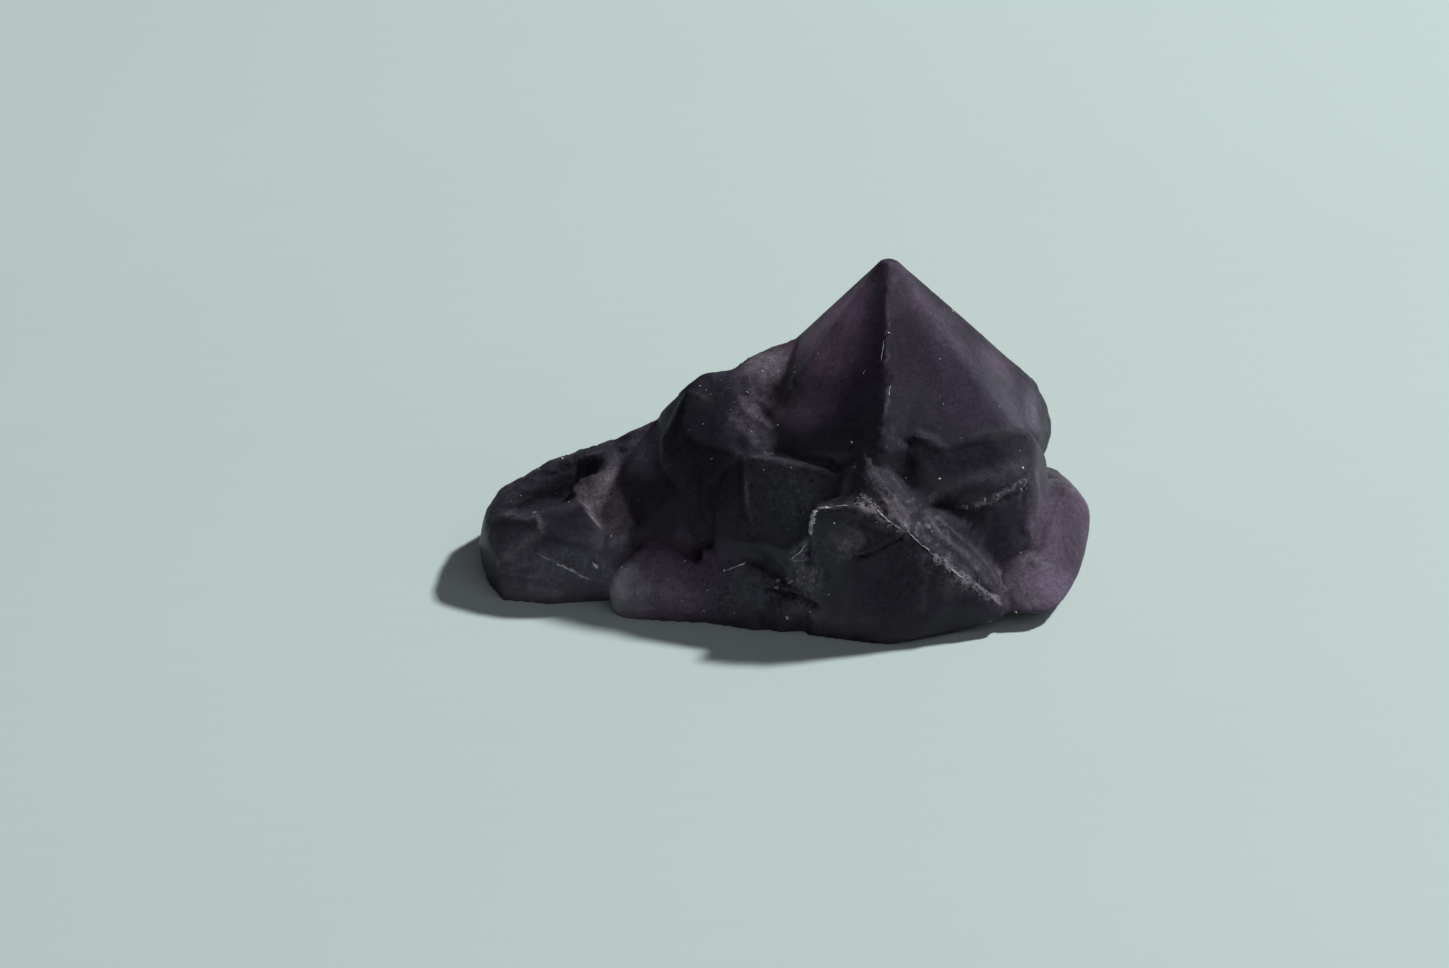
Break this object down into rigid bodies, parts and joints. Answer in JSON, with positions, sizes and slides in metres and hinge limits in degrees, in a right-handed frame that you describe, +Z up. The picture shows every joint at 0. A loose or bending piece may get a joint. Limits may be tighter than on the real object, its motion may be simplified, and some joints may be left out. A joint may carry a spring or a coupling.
{
  "type": "mineral specimen",
  "caption": "Dark purple quartz cluster with one large six-sided point, smaller joined crystals and rough broken ground, on a flat base.",
  "frame": {"origin": "under the middle of the cluster's bounding box, level with the flat it rests on", "axes": "+X along the cluster's length to the viewer's right, +Y toward the back, +Z up"},
  "size_m": [0.0448, 0.03, 0.0225],
  "materials": {
    "amethyst": "satin to glossy dark purple quartz, clear where it is thin"
  },
  "bodies": {
    "root": {"amethyst_cluster": "amethyst"}
  },
  "joints": []
}
